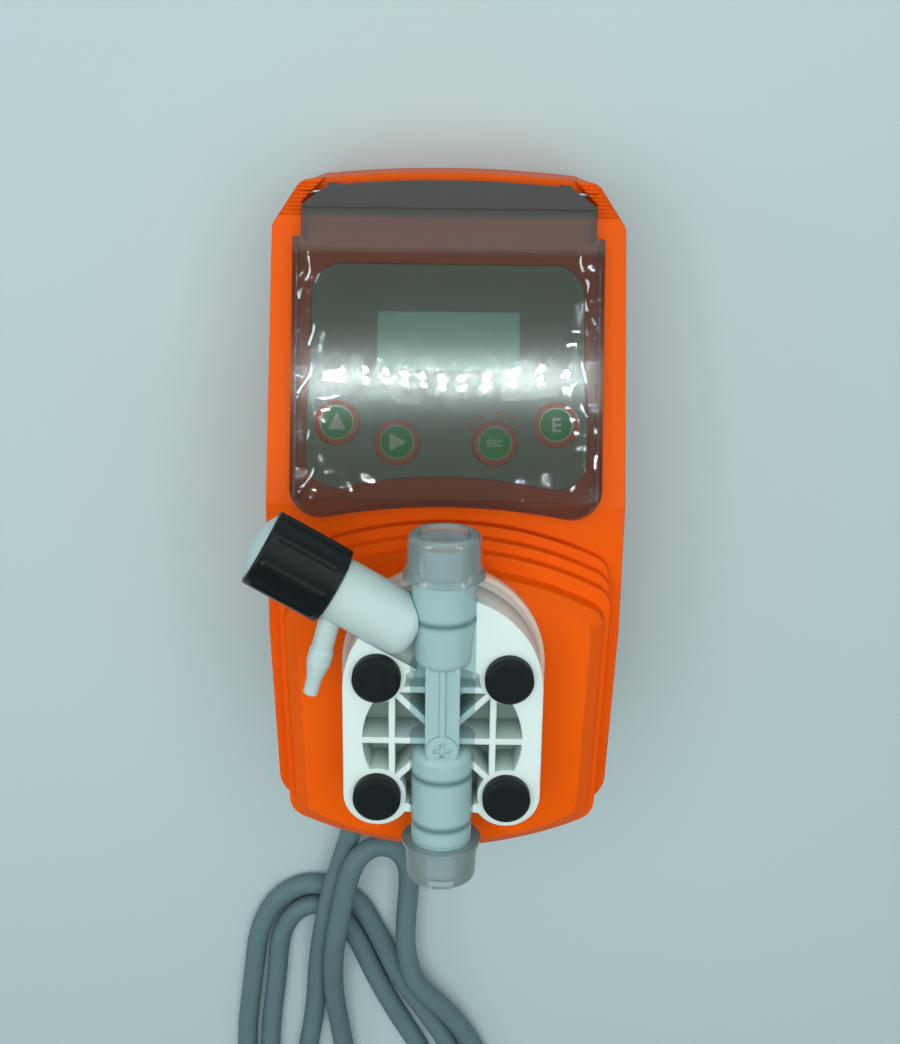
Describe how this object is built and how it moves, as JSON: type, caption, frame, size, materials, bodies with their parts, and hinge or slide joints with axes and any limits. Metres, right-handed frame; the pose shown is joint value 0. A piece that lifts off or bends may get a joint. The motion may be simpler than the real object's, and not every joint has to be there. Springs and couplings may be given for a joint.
{
  "type": "diaphragm metering pump",
  "caption": "Compact solenoid diaphragm metering pump with hinged display cover, keypad, translucent pump head, air bleed valve, capped hose connections and a mains lead.",
  "frame": {"origin": "centre of the four wall screw holes, on the back face", "axes": "+X across the pump, +Y towards the display end (up when it hangs on a wall), +Z out of the front; stored lying on its back"},
  "size_m": [0.1415, 0.5255, 0.1465],
  "materials": {
    "housing_orange": "semi-gloss, fine spark texture",
    "gasket_black": "matt",
    "cover_grey": "satin",
    "window_smoke": "clear, smoked",
    "film_clear": "clear, thin",
    "panel_grey": "fine matt",
    "key_green": "satin",
    "display_glass": "liquid crystal, unlit",
    "board_green": "solder mask",
    "switch_black": "matt",
    "zinc_steel": "zinc plated",
    "stainless": "turned",
    "coil_wrap": "taped",
    "soft_iron": "nickel plated",
    "diaphragm_white": "smooth",
    "head_white": "milky, translucent",
    "cap_black": "moulded",
    "valve_white": "milky",
    "ball_ceramic": "polished",
    "seal_teal": "moulded",
    "cap_clear": "translucent",
    "knob_black": "satin",
    "disc_pale": "smooth",
    "cord_grey": "extruded, matt",
    "gland_black": "satin",
    "pin_nickel": "nickel plated"
  },
  "bodies": {
    "pump": {"bleed_o_ring": "seal_teal", "bleed_valve_body": "valve_white", "board_screws": "zinc_steel", "circuit_board": "board_green", "cord_coil": "cord_grey", "diaphragm": "diaphragm_white", "front_housing": "housing_orange", "head_screws": "stainless", "head_washers": "stainless", "hinge_pins": "stainless", "housing_gasket": "gasket_black", "housing_screws": "zinc_steel", "inlet_cage": "valve_white", "inlet_o_rings": "seal_teal", "inlet_seat": "valve_white", "inlet_valve_body": "valve_white", "key_switches": "switch_black", "keypad_panel": "panel_grey", "lcd_module": "display_glass", "outlet_o_ring": "seal_teal", "outlet_seat": "valve_white", "outlet_valve_body": "valve_white", "plug_body": "cord_grey", "plug_pins": "pin_nickel", "power_cord": "cord_grey", "pump_head": "head_white", "rear_housing": "housing_orange", "return_spring": "stainless", "solenoid_coil": "coil_wrap", "solenoid_core": "soft_iron", "solenoid_screws": "zinc_steel", "solenoid_yoke": "soft_iron", "strain_relief": "gland_black", "support_plate": "cap_black", "yoke_front_plate": "soft_iron"},
    "cover": {"cover_hood": "cover_grey", "cover_window": "window_smoke", "protective_film": "film_clear"},
    "up_key": {"up_button": "key_green"},
    "right_key": {"right_button": "key_green"},
    "esc_key": {"esc_button": "key_green"},
    "enter_key": {"enter_button": "key_green"},
    "bleed_stem": {"bleed_needle": "stainless"},
    "bleed_grip": {"bleed_knob": "knob_black", "bleed_knob_cap": "disc_pale"},
    "armature": {"plunger": "soft_iron", "push_rod": "stainless"},
    "outlet_check_ball": {"outlet_ball": "ball_ceramic"},
    "inlet_check_ball": {"inlet_ball": "ball_ceramic"},
    "outlet_cover": {"outlet_cap": "cap_clear"},
    "inlet_cover": {"inlet_cap": "cap_clear"},
    "rubber_cap_1": {"screw_cap_1": "cap_black"},
    "rubber_cap_2": {"screw_cap_2": "cap_black"},
    "rubber_cap_3": {"screw_cap_3": "cap_black"},
    "rubber_cap_4": {"screw_cap_4": "cap_black"}
  },
  "joints": [
    {"name": "cover_hinge", "type": "hinge", "parent": "pump", "child": "cover", "pos_m": [0, 0.0926, 0.0615], "axis": [-1, 0, 0], "range_deg": [0, 80]},
    {"name": "up_press", "type": "slide", "parent": "pump", "child": "up_key", "axis": [0, -0.309, -0.9511], "range_m": [0, 0.0006], "stiffness_N_per_m": 800},
    {"name": "right_press", "type": "slide", "parent": "pump", "child": "right_key", "axis": [0, -0.309, -0.9511], "range_m": [0, 0.0006], "stiffness_N_per_m": 800},
    {"name": "esc_press", "type": "slide", "parent": "pump", "child": "esc_key", "axis": [0, -0.309, -0.9511], "range_m": [0, 0.0006], "stiffness_N_per_m": 800},
    {"name": "enter_press", "type": "slide", "parent": "pump", "child": "enter_key", "axis": [0, -0.309, -0.9511], "range_m": [0, 0.0006], "stiffness_N_per_m": 800},
    {"name": "bleed_lift", "type": "slide", "parent": "pump", "child": "bleed_stem", "axis": [-0.866, 0.5, 0], "range_m": [0, 0.0015]},
    {"name": "bleed_turn", "type": "hinge", "parent": "bleed_stem", "child": "bleed_grip", "pos_m": [0, -0.0236, 0.135], "axis": [-0.866, 0.5, 0], "range_deg": [0, 360]},
    {"name": "plunger_stroke", "type": "slide", "parent": "pump", "child": "armature", "axis": [0, 0, 1], "range_m": [0, 0.0012], "stiffness_N_per_m": 3000, "deforming": ["return_spring", "diaphragm"]},
    {"name": "outlet_ball_lift", "type": "slide", "parent": "pump", "child": "outlet_check_ball", "axis": [0, 1, 0], "range_m": [0, 0.0012]},
    {"name": "inlet_ball_lift", "type": "slide", "parent": "pump", "child": "inlet_check_ball", "axis": [0, 1, 0], "range_m": [0, 0.0012]},
    {"name": "outlet_cap_pull", "type": "slide", "parent": "pump", "child": "outlet_cover", "axis": [0, 1, 0], "range_m": [0, 0.018]},
    {"name": "inlet_cap_pull", "type": "slide", "parent": "pump", "child": "inlet_cover", "axis": [0, -1, 0], "range_m": [0, 0.018]},
    {"name": "screw_cap_1_pull", "type": "slide", "parent": "pump", "child": "rubber_cap_1", "axis": [0, 0, 1], "range_m": [0, 0.012]},
    {"name": "screw_cap_2_pull", "type": "slide", "parent": "pump", "child": "rubber_cap_2", "axis": [0, 0, 1], "range_m": [0, 0.012]},
    {"name": "screw_cap_3_pull", "type": "slide", "parent": "pump", "child": "rubber_cap_3", "axis": [0, 0, 1], "range_m": [0, 0.012]},
    {"name": "screw_cap_4_pull", "type": "slide", "parent": "pump", "child": "rubber_cap_4", "axis": [0, 0, 1], "range_m": [0, 0.012]}
  ],
  "couplings": [
    {"joint": "bleed_turn", "follows": "bleed_lift", "rad_per_m": 4188.8}
  ]
}
